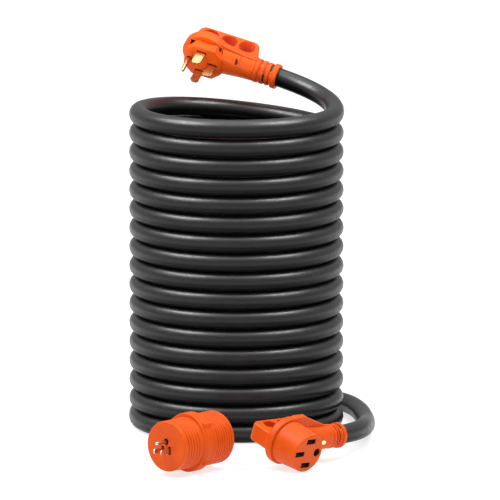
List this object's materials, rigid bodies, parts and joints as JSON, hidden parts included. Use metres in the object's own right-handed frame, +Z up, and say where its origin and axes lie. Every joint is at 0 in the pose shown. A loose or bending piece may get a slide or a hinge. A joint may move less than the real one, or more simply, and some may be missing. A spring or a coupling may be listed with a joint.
{
  "type": "shore power cord",
  "caption": "Coiled heavy power cord with a four-blade grip plug, a four-slot grip connector and a loose straight adapter.",
  "frame": {"origin": "centre of the coil's flat underside, on the floor", "axes": "+Z up the axis of the coil; the connector and the adapter lie towards -Y, and the plug over the far rim"},
  "size_m": [0.3434, 0.6028, 0.5358],
  "materials": {
    "cord_rubber": "satin",
    "orange_plastic": "semi-gloss",
    "black_plastic": "matte",
    "clear_lens": "gloss",
    "dark_lens": "gloss",
    "circuit_board": "satin",
    "wire_x": "satin",
    "wire_y": "satin",
    "wire_neutral": "satin",
    "wire_ground": "satin",
    "nickel": "satin",
    "copper": "satin",
    "brass": "satin"
  },
  "bodies": {
    "cord_set": {"cord_coil": "cord_rubber", "cord_tail_plug": "cord_rubber", "cord_tail_connector": "cord_rubber", "plug_housing": "orange_plastic", "plug_cover": "orange_plastic", "plug_core": "black_plastic", "plug_blade_x": "brass", "plug_blade_y": "brass", "plug_blade_neutral": "brass", "plug_ground_pin": "brass", "plug_wire_x": "wire_x", "plug_wire_y": "wire_y", "plug_wire_neutral": "wire_neutral", "plug_wire_ground": "wire_ground", "plug_strain_relief": "orange_plastic", "plug_lamp_lens": "dark_lens", "connector_housing": "orange_plastic", "connector_cover": "orange_plastic", "connector_core": "black_plastic", "connector_contact_x": "brass", "connector_contact_y": "brass", "connector_contact_neutral": "brass", "connector_contact_ground": "brass", "connector_wire_x": "wire_x", "connector_wire_y": "wire_y", "connector_wire_neutral": "wire_neutral", "connector_wire_ground": "wire_ground", "connector_strain_relief": "orange_plastic", "connector_lamp_lens": "clear_lens", "connector_lamp_board": "circuit_board"},
    "adapter": {"adapter_front_shell": "orange_plastic", "adapter_rear_shell": "orange_plastic", "adapter_blade_core": "black_plastic", "adapter_blade_hot": "nickel", "adapter_blade_neutral": "nickel", "adapter_ground_pin": "nickel", "adapter_contact_core": "black_plastic", "adapter_contact_x": "brass", "adapter_contact_y": "brass", "adapter_contact_neutral": "brass", "adapter_contact_ground": "brass", "adapter_hot_bus": "copper", "adapter_neutral_link": "copper", "adapter_ground_link": "copper"}
  },
  "joints": [
    {"name": "adapter_lift", "type": "slide", "parent": "cord_set", "child": "adapter", "axis": [0, 0, 1], "range_m": [0, 0.15]}
  ]
}
